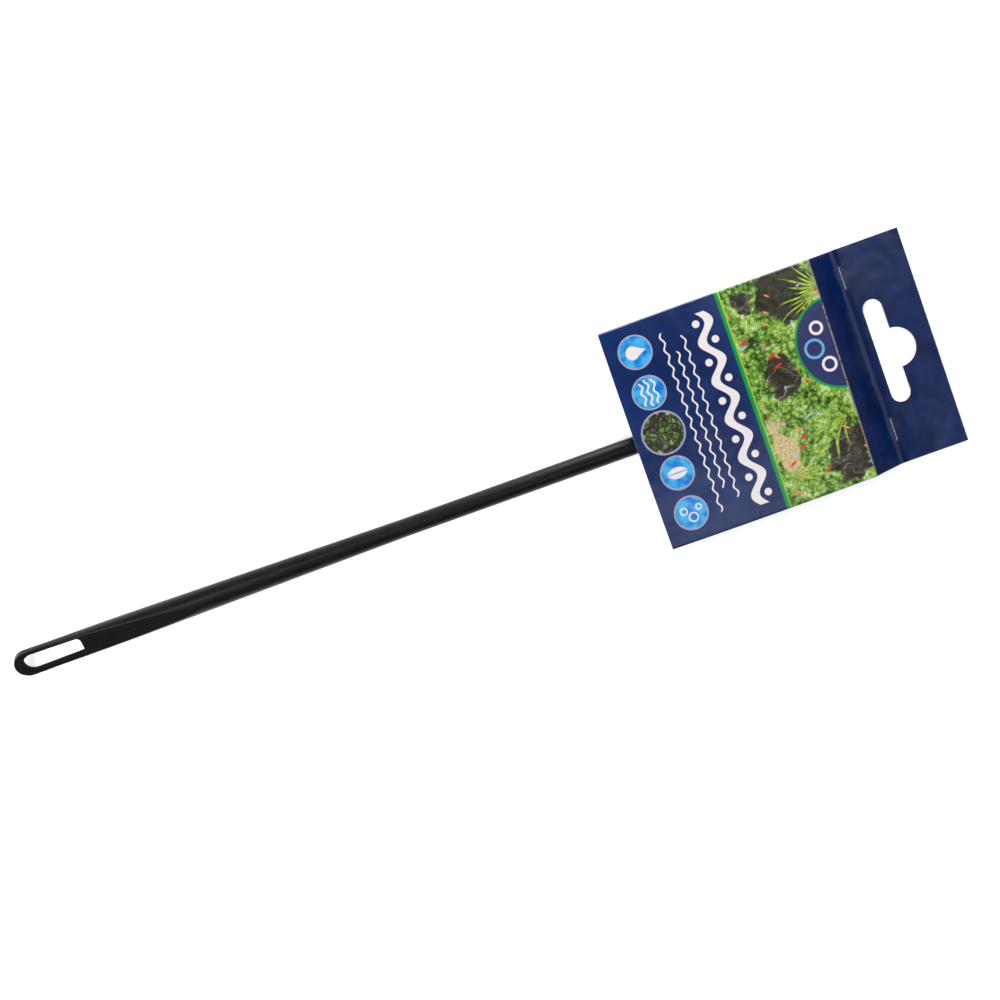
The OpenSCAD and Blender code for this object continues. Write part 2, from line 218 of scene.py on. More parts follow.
class Paint:
    """One material's nodes. Most methods add a node or a few and give an output socket."""

    def __init__(self, name, roughness=0.5, **surface):
        self.material = bpy.data.materials.new(name)
        self.material.use_nodes = True
        self.nodes = self.material.node_tree.nodes
        self.links = self.material.node_tree.links
        self.bsdf = self.nodes["Principled BSDF"]
        self.bsdf.inputs["Roughness"].default_value = roughness
        for socket, value in surface.items():
            self.bsdf.inputs[socket.replace("_", " ")].default_value = value

    def put(self, socket, value):
        if isinstance(value, bpy.types.NodeSocket):
            self.links.new(value, socket)
        else:
            socket.default_value = value

    def add(self, kind, inputs=None, **settings):
        node = self.nodes.new("ShaderNode" + kind)
        for key, value in settings.items():
            setattr(node, key, value)
        for key, value in (inputs or {}).items():
            self.put(node.inputs[key], value)
        return node

    def math(self, operation, a, b=0.0, c=0.0, clamp=False):
        inputs = {0: a, 1: b, 2: c}
        return self.add("Math", inputs, operation=operation, use_clamp=clamp).outputs[0]

    def times(self, a, b):
        return self.math("MULTIPLY", a, b)

    def less(self, a, b):
        return self.math("SUBTRACT", a, b)

    def apart(self, a, b):
        return self.math("ABSOLUTE", self.less(a, b))

    def most(self, *values):
        """Highest of some values"""
        high = values[0]
        for value in values[1:]:
            high = self.math("MAXIMUM", high, value)
        return high

    def vector(self, operation, a, b=(0, 0, 0), output=0):
        return self.add("VectorMath", {0: a, 1: b}, operation=operation).outputs[output]

    def millimetres(self):
        place = self.add("TexCoord").outputs["Object"]
        return self.add("VectorMath", {0: place, "Scale": 1 / MM}, operation="SCALE").outputs[0]

    def run(self):
        """UV coordinates, which lay_uv gives in millimetres"""
        return self.add("UVMap", uv_map="run").outputs[0]

    def split(self, vector):
        return self.add("SeparateXYZ", {0: vector}).outputs

    def join(self, x, y, z=0.0):
        return self.add("CombineXYZ", {0: x, 1: y, 2: z}).outputs[0]

    def mix(self, share, a, b):
        return self.add("Mix", {0: share, 6: a, 7: b}, data_type="RGBA").outputs[2]

    def ramp(self, share, stops):
        node = self.add("ValToRGB", {0: share})
        while len(node.color_ramp.elements) < len(stops):
            node.color_ramp.elements.new(0.5)
        for element, (position, colour) in zip(node.color_ramp.elements, stops):
            element.position = position
            element.color = colour
        return node.outputs[0]

    def inks(self, share, *stops):
        """Ramp over (position, red, green, blue) stops of printed colours"""
        return self.ramp(share, [(position, srgb(*colour)) for position, *colour in stops])

    def noise(self, vector, scale, detail=3.0, roughness=0.55, output=0):
        inputs = {"Vector": vector, "Scale": scale, "Detail": detail, "Roughness": roughness}
        return self.add("TexNoise", inputs).outputs[output]

    def cells(self, vector, scale, output="Distance", **settings):
        inputs = {"Vector": vector, "Scale": scale}
        return self.add("TexVoronoi", inputs, **settings).outputs[output]

    def bump(self, height, depth, strength=1.0, under=None):
        inputs = {"Height": height, "Distance": depth * MM, "Strength": strength}
        if under:
            inputs["Normal"] = under
        return self.add("Bump", inputs).outputs[0]

    def over(self, height, edge, softness):
        """1 where height is over edge, 0 where it is under, across a soft step"""
        scaled = self.times(self.less(height, edge), 1 / softness)
        return self.math("ADD", scaled, 0.5, clamp=True)

    def unit(self, vector, place, size, angle=0.0):
        """Coordinates in which an ellipse of that place, half size and turn is the unit circle"""
        inputs = {
            "Vector": vector,
            "Location": (*place, 0),
            "Rotation": (0, 0, math.radians(angle)),
            "Scale": (*size, 1),
        }
        return self.add("Mapping", inputs, vector_type="TEXTURE").outputs[0]

    def spot(self, vector, place, size, angle=0.0, softness=0.12):
        """1 in a filled ellipse. Its coordinates are flat, so vector has no height"""
        length = self.vector("LENGTH", self.unit(vector, place, size, angle), output=1)
        sharp = min(size) / softness
        return self.math("MULTIPLY_ADD", length, -sharp, sharp + 0.5, clamp=True)

    def ring(self, vector, place, radius, width, softness=0.12):
        """1 on a circle's line"""
        length = self.vector("LENGTH", self.unit(vector, place, (radius, radius)), output=1)
        off = self.apart(length, 1.0)
        sharp = radius / softness
        return self.math("MULTIPLY_ADD", off, -sharp, width / 2 / softness + 0.5, clamp=True)

    def line(self, across, middle, width, softness=0.12):
        """1 where a coordinate is within half a width of its middle"""
        off = self.apart(across, middle)
        return self.math("MULTIPLY_ADD", off, -1 / softness, width / 2 / softness + 0.5, clamp=True)

    def wave(self, along, height, length, phase=0.0):
        angle = self.math("MULTIPLY_ADD", along, 2 * math.pi / length, phase)
        return self.times(self.math("SINE", angle), height)

    def wrapped(self, along, half):
        """Coordinate that repeats from -half to half"""
        return self.math("WRAP", along, half, -half)

    def done(self, colour=None, normal=None, roughness=None):
        for socket, value in (("Base Color", colour), ("Normal", normal), ("Roughness", roughness)):
            if value is not None:
                self.put(self.bsdf.inputs[socket], value)
        return self.material


# Print colours
NAVY = srgb(4, 33, 86)
# Navy of the bevel: the front's navy painted darker as shade on the slope
SHADED_BEVEL_NAVY = srgb(1, 28, 78)
TAB_NAVY = srgb(6, 31, 78)
PATCH_NAVY = srgb(40, 50, 98)
OFF_WHITE = srgb(236, 228, 230)
ICON_BLUE = srgb(0, 118, 208)
ICON_CYAN = srgb(70, 178, 232)
RING_LILAC = srgb(160, 162, 190)
TEAL = srgb(0, 112, 96)
LINE_GREEN = srgb(0, 150, 66)
LINE_YELLOW = srgb(186, 208, 50)
# Pale navy painted along the crease as a sheen
CREASE_SHEEN_NAVY = srgb(66, 74, 108)
BOARD_GREY = srgb(206, 202, 194)
BOARD_SHADE = srgb(176, 170, 160)
INSIDE_GREY = srgb(226, 222, 214)
INSIDE_SHADE = srgb(198, 192, 182)

# Width of the band of painted sheen along the crease
CREASE_SHEEN_BAND = 1.6


def varnished(paint, vector, colour):
    """Printed card under its varnish: orange peel over the slow waves of the board"""
    waves = paint.noise(vector, 0.09, 2.0)
    peel = paint.noise(vector, 2.2, 2.0)
    slow = paint.bump(waves, 0.5, 0.5)
    normal = paint.bump(peel, 0.008, 0.3, slow)
    shares = {0: paint.noise(vector, 0.5), 3: 0.14, 4: 0.26}
    roughness = paint.add("MapRange", shares).outputs[0]
    return paint.done(colour, normal, roughness)


def worn(paint, vector, colour):
    """The print cracks to bare board in places along the fold of the front, which is askew"""
    x, y = paint.split(vector)[:2]
    along = paint.math("MULTIPLY_ADD", y, -FOLD_SKEW / HALF_W, x)
    near = paint.line(along, FOLD_X, 0.5, 0.3)
    broken = paint.over(paint.noise(vector, 0.8, 4.0), 0.44, 0.12)
    return paint.mix(paint.times(near, broken), colour, srgb(150, 138, 124))


def painted_crease_sheen(paint, vector, colour):
    """Painted sheen: the print is painted pale in a band of uneven width along the crease, in place of
    the light the pressed board catches there
    """
    x = paint.less(paint.split(vector)[0], 1.2)
    edge = paint.math("MULTIPLY_ADD", paint.noise(vector, 0.3, 4.0), 2.4, x)
    sheen_share = paint.times(paint.over(edge, CREASE_X - CREASE_SHEEN_BAND, 0.9), 0.85)
    return paint.mix(sheen_share, colour, CREASE_SHEEN_NAVY)


def ink(name, colour, at_fold=False, **surface):
    """Card printed in one ink, with the faint mottle of a solid tint"""
    paint = Paint(name, **surface)
    vector = paint.millimetres()
    mottle = paint.noise(vector, 0.12, 3.0)
    light = tuple(min(1, c * 1.35 + 0.004) for c in colour[:3]) + (1.0,)
    dark = tuple(c * 0.8 for c in colour[:3]) + (1.0,)
    shade = paint.ramp(mottle, [(0.3, dark), (0.7, light)])
    if at_fold:
        # At the fold: real wear to bare board, then a painted sheen along the crease
        shade = painted_crease_sheen(paint, vector, worn(paint, vector, shade))
    return varnished(paint, vector, shade)


# Motifs printed on the front: places are (distance from the mouth, place across the card)
DISC_P = 8.6
DISC_PITCH = 12.4
DISC_R = 4.9
WIDE_DISC_R = 6.3
RIBBON_P = 29.9
RIBBON_W = 2.7
RIBBON_H = 1.9
RIBBON_PITCH = 11.8
RIBBON_END = 2.5 * RIBBON_PITCH
BEAD_R = 1.1
BEAD_OFF = 2.0
LEAF_OFF = 1.5
LEAF_ROUND = (3.6, 3.2)
DROP_R = 2.0
DROP_OFF = 0.9

# Ripples: place and half length
RIPPLES = ((17.2, 27.5), (20.2, 21.0), (23.2, 25.0))

LINE_P = 36.3
LINE_W = 1.5

# Kinds of bright leaf: size and turn of a cell, rarity, reach in its cell and colour
ACCENTS = (
    ((6.0, 1.7), 24, 0.66, 0.26, srgb(202, 58, 42)),
    ((5.0, 1.6), -38, 0.72, 0.25, srgb(226, 138, 84)),
    ((6.0, 1.3), 20, 0.76, 0.24, srgb(158, 192, 222)),
)

# Fans of grass: root, first and last heading and number of blades
FANS = ((64, 24, 105, 235, 11), (60, -15, 130, 262, 6), (41, -27, -30, 60, 5))

# Ellipses of sand, ground and stones: place, half size and turn
SAND = ((41, -17), (2.4, 9.5), 10)
GROUND = ((55, 27), (8.5, 9.5), 20)
STONES = (
    ((47, 4), (4.6, 6.8), 12),
    ((59, -24), (6.0, 8.5), -25),
    ((42, 27), (2.8, 3.6), 0),
)

# Bubbles of a disc: place from its middle and radius
BUBBLES = ((-2.0, 1.0, 1.0), (0.3, -1.4, 1.3), (2.6, 1.1, 0.8))

PATCH_PLACE = (65, 8)
PATCH_SIZE = (11.5, 13.0)
PATCH_EDGE = 0.7
PATCH_RINGS = (
    ((60.6, 13.8), 1.7, OFF_WHITE),
    ((58.2, 8.2), 2.6, srgb(108, 168, 216)),
    ((61.0, 2.6), 1.9, OFF_WHITE),
)


def row_place(p, y):
    """Place of a motif in the frame's axes"""
    return (MOUTH_X + p, y)


def discs(paint, flat, colour):
    """Row of blue discs along the mouth with plain motifs, and a wider one with pebbles"""
    x, y = paint.split(flat)[:2]
    inside = paint.over(paint.less(2.5 * DISC_PITCH, paint.apart(y, 0)), 0, 0.1)
    repeat = paint.join(x, paint.wrapped(y, DISC_PITCH / 2))
    centre = row_place(DISC_P, 0)
    glow = paint.noise(flat, 0.35, 1.0)
    blue = paint.ramp(glow, [(0.35, ICON_BLUE), (0.62, ICON_CYAN)])
    disc = paint.times(paint.spot(repeat, centre, (DISC_R, DISC_R)), inside)
    colour = paint.mix(disc, colour, blue)
    rim = paint.times(paint.ring(repeat, centre, DISC_R, 0.45), inside)
    colour = paint.mix(rim, colour, RING_LILAC)
    sides = (-2 * DISC_PITCH, -DISC_PITCH, DISC_PITCH, 2 * DISC_PITCH)
    for place, motif in zip(sides, (bubbles, leaf, surface, drop)):
        mask = motif(paint, flat, row_place(DISC_P, place))
        colour = paint.mix(mask, colour, OFF_WHITE)
    wide = paint.spot(flat, centre, (WIDE_DISC_R, WIDE_DISC_R))
    colour = paint.mix(wide, colour, pebbles(paint, flat))
    return paint.mix(paint.ring(flat, centre, WIDE_DISC_R, 0.5), colour, RING_LILAC)


def bubbles(paint, flat, place):
    """Three bubbles of different sizes"""
    x, y = place
    return paint.most(*[paint.ring(flat, (x + a, y + b), radius, 0.4) for a, b, radius in BUBBLES])


def leaf(paint, flat, place):
    """Pointed leaf, where two round shapes overlap, with its midrib left blue"""
    x, y = place
    rounds = [paint.spot(flat, (x, y + off), LEAF_ROUND) for off in (-LEAF_OFF, LEAF_OFF)]
    rib = paint.line(paint.split(flat)[1], y, 0.35)
    return paint.times(paint.math("MINIMUM", *rounds), paint.less(1.0, rib))


def surface(paint, flat, place):
    """Three rippled lines, cut off by the disc's edge"""
    x, y = paint.split(flat)[:2]
    height = paint.less(x, paint.wave(y, 0.45, 3.4))
    lines = paint.most(*[paint.line(height, place[0] + offset, 0.6) for offset in (0, -1.9, 1.9)])
    return paint.times(lines, paint.spot(flat, place, (DISC_R - 0.9,) * 2))


def drop(paint, flat, place):
    """Water drop: a round body with a narrow top"""
    x, y = place
    body = paint.spot(flat, (x - DROP_OFF, y), (DROP_R, DROP_R))
    along, across = paint.split(flat)[:2]
    slope = paint.math("MULTIPLY_ADD", along, -0.52, (x + 3.2) * 0.52)
    top = paint.over(paint.less(slope, paint.apart(across, y)), 0, 0.12)
    low = paint.over(along, x - DROP_OFF, 0.1)
    return paint.most(body, paint.times(top, low))


def pebbles(paint, flat):
    """Rounded pebbles, green and grey, for the wide disc"""
    shift = paint.vector("MULTIPLY", paint.noise(flat, 0.8, 1.0, output=1), (1.2, 1.2, 0))
    bent = paint.vector("ADD", flat, shift)
    tint = paint.split(paint.cells(bent, 0.62, "Color"))[0]
    depth = paint.cells(bent, 0.62, feature="DISTANCE_TO_EDGE")
    stone = paint.inks(
        tint, (0.1, 64, 84, 40), (0.35, 122, 150, 62), (0.6, 164, 170, 140), (0.85, 84, 78, 62)
    )
    return paint.mix(paint.math("MULTIPLY", depth, 3.2, clamp=True), srgb(22, 26, 16), stone)


def ribbon(paint, flat, colour):
    """Bold off-white wave across the card, with a bead in each of its bends"""
    x, y = paint.split(flat)[:2]
    middle = MOUTH_X + RIBBON_P
    lane = paint.less(x, paint.wave(y, RIBBON_H, RIBBON_PITCH))
    mask = paint.line(lane, middle, RIBBON_W)
    for side in (-1, 1):
        moved = paint.math("ADD", y, -side * RIBBON_PITCH / 4)
        repeat = paint.join(x, paint.wrapped(moved, RIBBON_PITCH / 2))
        bead = paint.spot(repeat, (middle - side * BEAD_OFF, 0), (BEAD_R, BEAD_R))
        mask = paint.most(mask, bead)
    kept = paint.line(y, 0, 2 * RIBBON_END, 0.2)
    return paint.mix(paint.times(mask, kept), colour, OFF_WHITE)


def ripples(paint, flat, colour):
    """Fine ripples beside the ribbon"""
    x, y = paint.split(flat)[:2]
    for number, (p, end) in enumerate(RIPPLES):
        fine = paint.less(x, paint.wave(y, 0.42, 3.9, number))
        kept = paint.line(y, 0, 2 * end, 0.2)
        mask = paint.times(paint.line(fine, MOUTH_X + p, 0.52), kept)
        colour = paint.mix(mask, colour, OFF_WHITE)
    return colour


def front_print():
    """Navy part of the front with its motifs"""
    paint = Paint("front_print")
    vector = paint.millimetres()
    flat = paint.vector("MULTIPLY", vector, (1, 1, 0))
    mottle = paint.noise(vector, 0.07, 2.0)
    colour = paint.ramp(mottle, [(0.35, NAVY), (0.75, srgb(16, 46, 104))])
    colour = ripples(paint, flat, ribbon(paint, flat, discs(paint, flat, colour)))
    return varnished(paint, vector, colour)


def line_print():
    """Narrow stripe that runs from teal over green to yellow"""
    paint = Paint("line_print")
    vector = paint.millimetres()
    x = paint.split(vector)[0]
    low = MOUTH_X + LINE_P - LINE_W / 2
    share = paint.times(paint.less(x, low), 1 / LINE_W)
    stops = [(0.0, TEAL), (0.35, LINE_GREEN), (0.7, LINE_GREEN), (0.95, LINE_YELLOW)]
    colour = paint.ramp(share, stops)
    return varnished(paint, vector, colour)


def picture_print():
    """Generic planted tank: foliage, stones, sand, blades of grass, bright leaves and a patch"""
    paint = Paint("picture_print")
    vector = paint.millimetres()
    flat = paint.vector("MULTIPLY", vector, (1, 1, 0))
    warp = paint.noise(flat, 0.22, 2.0, 0.5, output=1)
    shift = paint.vector("MULTIPLY", paint.vector("SUBTRACT", warp, (0.5, 0.5, 0.5)), (9, 9, 0))
    bent = paint.vector("ADD", flat, shift)
    colour = stones(paint, flat, bent, foliage(paint, flat))
    for motif in (blades, accents, patch):
        colour = motif(paint, flat, colour)
    colour = worn(paint, vector, colour)
    return varnished(paint, vector, colour)


def foliage(paint, flat):
    """Small round leaves, each of its own green, in lighter and darker tufts"""
    tufts = paint.noise(flat, 0.17, 3.0, 0.6)
    bent = paint.vector("ADD", flat, paint.noise(flat, 1.1, 1.0, output=1))
    own = paint.split(paint.cells(bent, 0.85, "Color"))[2]
    share = paint.math("MULTIPLY_ADD", own, 0.26, paint.math("ADD", tufts, 0.04))
    share = paint.math("MULTIPLY_ADD", paint.cells(bent, 0.85), -0.36, share)
    greens = ((0.24, 28, 48, 18), (0.38, 72, 112, 34), (0.50, 116, 160, 54), (0.62, 160, 192, 92))
    return paint.inks(share, *greens, (0.76, 212, 220, 176))


def stones(paint, flat, bent, colour):
    """Dark ground under the grass, a patch of sand and three dark stones with pale streaks"""
    ground = paint.inks(paint.noise(flat, 0.6, 3.0), (0.35, 20, 20, 12), (0.7, 58, 62, 32))
    sand = paint.inks(paint.noise(flat, 1.3), (0.3, 176, 152, 100), (0.7, 226, 208, 160))
    streaked = paint.vector("MULTIPLY", bent, (0.35, 1.2, 1.0))
    grain = paint.noise(streaked, 0.55, 4.0, 0.72)
    greys = ((0.34, 22, 20, 14), (0.50, 54, 50, 38), (0.60, 98, 94, 80), (0.70, 200, 198, 192))
    rock = paint.inks(grain, *greys)
    shapes = [(GROUND, 1.2, ground), (SAND, 0.6, sand)]
    shapes += [(stone, 0.5, rock) for stone in STONES]
    for (place, half, angle), softness, tint in shapes:
        colour = paint.mix(paint.spot(bent, row_place(*place), half, angle, softness), colour, tint)
    return colour


def blades(paint, flat, colour):
    """Fans of long narrow leaves, each from its own root and all swayed a little"""
    sway = paint.vector("SUBTRACT", paint.noise(flat, 0.09, 0.0, output=1), (0.5, 0.5, 0.5))
    swayed = paint.vector("ADD", flat, paint.vector("MULTIPLY", sway, (7, 7, 0)))
    tone = paint.inks(paint.noise(flat, 0.5), (0.35, 92, 142, 30), (0.65, 190, 208, 78))
    for p, y, first, last, count in FANS:
        for number, heading in enumerate(steps(first, last, count - 1)):
            half_l = 3.4 + 0.7 * (number * 3 % 5)
            a, b = polar(half_l, heading)
            blade = paint.spot(swayed, row_place(p + a, y + b), (half_l, 0.34), heading, 0.18)
            colour = paint.mix(blade, colour, tone)
    return colour


def accents(paint, flat, colour):
    """Thin red and orange leaves and sky-blue glints, in groups, one to a cell of a stretched grid"""
    for number, (size, angle, threshold, reach, tint) in enumerate(ACCENTS):
        stretched = paint.unit(flat, (0, 0), size, angle)
        chance = paint.split(paint.cells(stretched, 1.0, "Color"))[1]
        near = paint.over(paint.less(reach, paint.cells(stretched, 1.0)), 0, 0.06)
        moved = paint.vector("ADD", flat, (60 * number, 0, 0))
        group = paint.over(paint.noise(moved, 0.07, 0.0), 0.5, 0.02)
        for chosen in (paint.over(chance, threshold, 0.01), group):
            near = paint.times(near, chosen)
        colour = paint.mix(near, colour, tint)
    return colour


def patch(paint, flat, colour):
    """Plain half-round patch at the fold, edged in green, with three bubble rings"""
    centre = row_place(*PATCH_PLACE)
    edge = paint.spot(flat, centre, [half + PATCH_EDGE for half in PATCH_SIZE], 0, 0.3)
    colour = paint.mix(edge, colour, LINE_GREEN)
    colour = paint.mix(paint.spot(flat, centre, PATCH_SIZE), colour, PATCH_NAVY)
    for place, radius, tint in PATCH_RINGS:
        colour = paint.mix(paint.ring(flat, row_place(*place), radius, 0.8), colour, tint)
    return colour


def board_paint(name, light, dark):
    """Bare grey-white board with short fibres"""
    paint = Paint(name, 0.85)
    vector = paint.millimetres()
    fibres = paint.noise(paint.vector("MULTIPLY", vector, (1, 3, 3)), 1.6, 5.0, 0.7)
    colour = paint.ramp(fibres, [(0.35, dark), (0.65, light)])
    return paint.done(colour, paint.bump(fibres, 0.05, 0.6))


def handle_paint(name, level, smooth, rough):
    """Black moulded plastic of a specular level and a range of roughness, with faint flow marks"""
    paint = Paint(name, Specular_IOR_Level=level)
    vector = paint.millimetres()
    streak = paint.noise(paint.vector("MULTIPLY", vector, (0.05, 1, 1)), 3.0, 3.0)
    cloud = paint.noise(vector, 0.12, 2.0)
    colour = paint.inks(cloud, (0.3, 17, 16, 18), (0.7, 24, 23, 25))
    shares = {0: streak, 1: 0.3, 2: 0.75, 3: smooth, 4: rough}
    roughness = paint.add("MapRange", shares).outputs[0]
    fine = paint.bump(paint.noise(vector, 1.4, 2.0), 0.02, 0.5)
    return paint.done(colour, paint.bump(streak, 0.01, 0.4, fine), roughness)


def coating_paint():
    """Dipped plastic skin: smooth and slightly uneven"""
    paint = Paint("coating_black", 0.3)
    vector = paint.millimetres()
    uneven = paint.noise(vector, 0.6, 2.0)
    colour = paint.inks(uneven, (0.3, 16, 16, 18), (0.7, 26, 26, 28))
    return paint.done(colour, paint.bump(uneven, 0.06, 0.6))


def tape_paint():
    """Woven tape: warp and weft along and across its run"""
    paint = Paint("tape_black", 0.75, Sheen_Weight=0.25, Sheen_Roughness=0.4)
    u, v = paint.split(paint.run())[:2]
    warp = paint.math("ABSOLUTE", paint.wave(v, 1.0, 0.56))
    weft = paint.math("ABSOLUTE", paint.wave(u, 1.0, 0.7))
    weave = paint.times(warp, weft)
    colour = paint.inks(weave, (0.1, 12, 12, 14), (0.8, 40, 40, 44))
    return paint.done(colour, paint.bump(weave, 0.12, 0.8))


def thread_paint():
    """Twisted sewing thread"""
    paint = Paint("thread_grey", 0.6, Sheen_Weight=0.2)
    slant = paint.math("ADD", *paint.split(paint.run())[:2])
    twist = paint.math("ABSOLUTE", paint.wave(slant, 1.0, 0.5))
    colour = paint.inks(twist, (0.1, 34, 35, 38), (0.9, 84, 86, 92))
    return paint.done(colour, paint.bump(twist, 0.05, 0.7))


# Holes of the knitted net: their pitch, the distance of their rows and their radius
MESH_PITCH = 1.05
MESH_ROW = 0.85 * MESH_PITCH
MESH_HOLE_R = 0.4


def mesh_paint():
    """Fine knitted net: round holes in a staggered pattern between thin strands"""
    paint = Paint("net_black", 0.7, Sheen_Weight=0.15)
    u, v = paint.split(paint.run())[:2]
    rows = []
    for offset in (0, 0.5):
        a = paint.wrapped(paint.math("ADD", u, offset * MESH_PITCH), MESH_PITCH / 2)
        b = paint.wrapped(paint.math("ADD", v, offset * 2 * MESH_ROW), MESH_ROW)
        rows.append(paint.vector("LENGTH", paint.join(a, b), output=1))
    near = paint.math("MINIMUM", *rows)
    strand = paint.over(near, MESH_HOLE_R, 0.1)
    colour = paint.inks(near, (0.4, 20, 21, 23), (0.62, 52, 54, 58))
    paint.put(paint.bsdf.inputs["Alpha"], strand)
    return paint.done(colour, paint.bump(near, 0.15, 0.8))


def steel_paint():
    """Drawn steel wire"""
    paint = Paint("wire_steel", 0.35, Metallic=1.0)
    drawn = paint.noise(paint.vector("MULTIPLY", paint.millimetres(), (0.2, 4, 4)), 2.0)
    return paint.done(paint.inks(drawn, (0.3, 150, 150, 152), (0.7, 190, 190, 192)))


# Camera, lamps, floor and room
CAMERA_PLACE = (3.8, 30.8, 516.9)
CAMERA_TURNS = ((-3.757, "X"), (-0.33, "Y"), (-19.719, "Z"))
CAMERA_LENS = 62.59

# Name, place, target, size and power of each lamp
LAMPS = (
    ("key", (-800, -60, 900), (0, 0, 0), (800, 800), 11.2),
    ("side", (260, 520, 130), (260, 0, 0), (360, 220), 3.6),
    ("rise", (230, 520, 400), (140, 0, 0), (400, 360), 0.85),
    ("strip", (-260, 300, 900), (-80, 0, 0), (260, 420), 0.76),
    ("sheen_low", (155, -245, 900), (100, 0, 0), (310, 270), 0.38),
    ("sheen_high", (350, 140, 900), (130, 0, 0), (200, 240), 0.23),
)

FLOOR_HALF = 3000
FLOOR_Z = -0.05
FLOOR_GLOW = 0.56

# Grey of the room by height: (position, level)
ROOM_LEVELS = ((0.05, 0.3), (0.9, 0.06))


def add_camera():
    data = bpy.data.cameras.new("camera")
    data.sensor_fit = "HORIZONTAL"
    data.sensor_width = 36
    data.lens = CAMERA_LENS
    data.clip_start = 10 * MM
    camera = add_object("camera", data)
    place = Matrix.Translation(Vector(CAMERA_PLACE) * MM)
    for angle, axis in CAMERA_TURNS:
        place = place @ Matrix.Rotation(math.radians(angle), 4, axis)
    camera.matrix_world = place
    bpy.context.scene.camera = camera


def add_lamp(name, place, target, size, power):
    """Soft box at a place, turned to its target"""
    data = bpy.data.lights.new(name, "AREA")
    data.shape = "RECTANGLE"
    data.size, data.size_y = size[0] * MM, size[1] * MM
    data.energy = power
    lamp = add_object(name, data)
    lamp.location = Vector(place) * MM
    lamp.rotation_euler = (Vector(target) - Vector(place)).to_track_quat("-Z", "Y").to_euler()


def add_floor():
    """Pale floor that reads as white to the camera and keeps the shadows"""
    corners = ((-1, -1), (1, -1), (1, 1), (-1, 1))
    points = [(x * FLOOR_HALF, y * FLOOR_HALF, FLOOR_Z) for x, y in corners]
    floor = add_mesh("floor", points, [(0, 1, 2, 3)], [])
    paint = Paint("floor_white", 0.9, Specular_IOR_Level=0.0)
    rays = paint.add("LightPath").outputs
    seen = paint.most(rays["Is Camera Ray"], rays["Is Glossy Ray"], rays["Is Transmission Ray"])
    grain = paint.noise(paint.millimetres(), 0.02)
    tint = paint.ramp(grain, [(0.3, (0.78, 0.78, 0.78, 1)), (0.7, (0.8, 0.8, 0.8, 1))])
    paint.bsdf.inputs["Emission Color"].default_value = (1, 1, 1, 1)
    paint.put(paint.bsdf.inputs["Emission Strength"], paint.times(seen, FLOOR_GLOW))
    floor.data.materials.append(paint.done(tint))


def add_world():
    """Plain grey room, pale at the horizon and dark overhead"""
    world = bpy.data.worlds.new("room")
    world.use_nodes = True
    tree = world.node_tree
    place = tree.nodes.new("ShaderNodeTexCoord").outputs["Generated"]
    height = tree.nodes.new("ShaderNodeSeparateXYZ")
    ramp = tree.nodes.new("ShaderNodeValToRGB")
    for element, (position, level) in zip(ramp.color_ramp.elements, ROOM_LEVELS):
        element.position = position
        element.color = (level, level, level, 1)
    tree.links.new(place, height.inputs[0])
    tree.links.new(height.outputs[2], ramp.inputs[0])
    tree.links.new(ramp.outputs[0], tree.nodes["Background"].inputs[0])
    bpy.context.scene.world = world


# Handle: its profiles are (distance from the tip, half size or radius) pairs
EYE_W = 8.7
EYE_EVEN_L = 3
EYE_ROLL = 30
EYE_T = 2.1
ROD_D = 5.4
TAPER_L = 122
RUNOUT_S = 59
FLAT_EVEN_L = 12
FLAT_CLEAR = 3.67
FLAT_PROFILE = (
    (0, EYE_T / 2),
    (FLAT_EVEN_L, EYE_T / 2),
    (RUNOUT_S, FLAT_CLEAR),
    (TAPER_L, FLAT_CLEAR),
)
ROUND_PROFILE = ((0, EYE_W / 2), (EYE_EVEN_L, EYE_W / 2), (TAPER_L, ROD_D / 2))
TIP_R = EYE_W / 2 - 0.1
RIDGE_PROFILE = ((0, 0.2), (FLAT_EVEN_L, 0.3), (30, 0.8), (50, 1.2), (TAPER_L, 1.2))
SLOT_TIP = 2.9
SLOT_L = 18.3
SLOT_W = 6.0
SLOT_CORNER_R = 1.2
SLOT_EDGE = 0.15
CUT_OVER = 1
FINE_L = 40
END_CHAMFER = 0.4
END_SHARE = 0.86

# Most of a section's half sizes that its ridges round off, and most of the angle to them
RIDGE_SHARE = 0.9
RIDGE_TURN = 86


def rolled(s, u, v):
    """Place of a point of the handle, rolled as its eye is: s along, u across and v through the flats"""
    c, d = polar(1, EYE_ROLL)
    return (TIP_X + s, u * c - v * d, AXIS_Z + u * d + v * c)


def handle_ring(s):
    """Section of the handle: round sides between two flats, with rounded ridges"""
    radius, flat = between(s, ROUND_PROFILE), between(s, FLAT_PROFILE)
    width = math.sqrt(TIP_R ** 2 - (TIP_R - s) ** 2) if s < TIP_R else radius
    soft = min(between(s, RIDGE_PROFILE), width * RIDGE_SHARE, flat * RIDGE_SHARE)
    radius, flat, width = radius - soft, flat - soft, width - soft
    ridge = min(RIDGE_TURN, math.degrees(math.asin(min(1, flat / radius))))
    turns = [(angle, angle) for angle in steps(0, ridge, 12)]
    turns += [(ridge, facing) for facing in steps(ridge, 90, 10)[1:]]
    right = []
    for angle, facing in turns:
        (a, b), (c, d) = polar(radius, angle), polar(soft, facing)
        right.append((min(a, width) + c, min(b, flat) + d))
    edge_u, edge_v = right[-1]
    right += [(edge_u * share, edge_v) for share in (0.85, 0.4)]
    upper = right + [(-u, v) for u, v in reversed(right)][:-1]
    return [rolled(s, u, v) for u, v in upper + [(-u, -v) for u, v in upper]]


def slot_outline(grow):
    """Outline of the slot: round towards the tip, square with small corners towards the rod"""
    half = SLOT_W / 2
    centre = SLOT_TIP + half
    corner = SLOT_TIP + SLOT_L - SLOT_CORNER_R
    points = arc(half + grow, 90, 270, 24, centre)
    for side, start in ((-1, -90), (1, 0)):
        middle = side * (half - SLOT_CORNER_R)
        points += arc(SLOT_CORNER_R + grow, start, start + 90, 8, corner, middle)
    return points


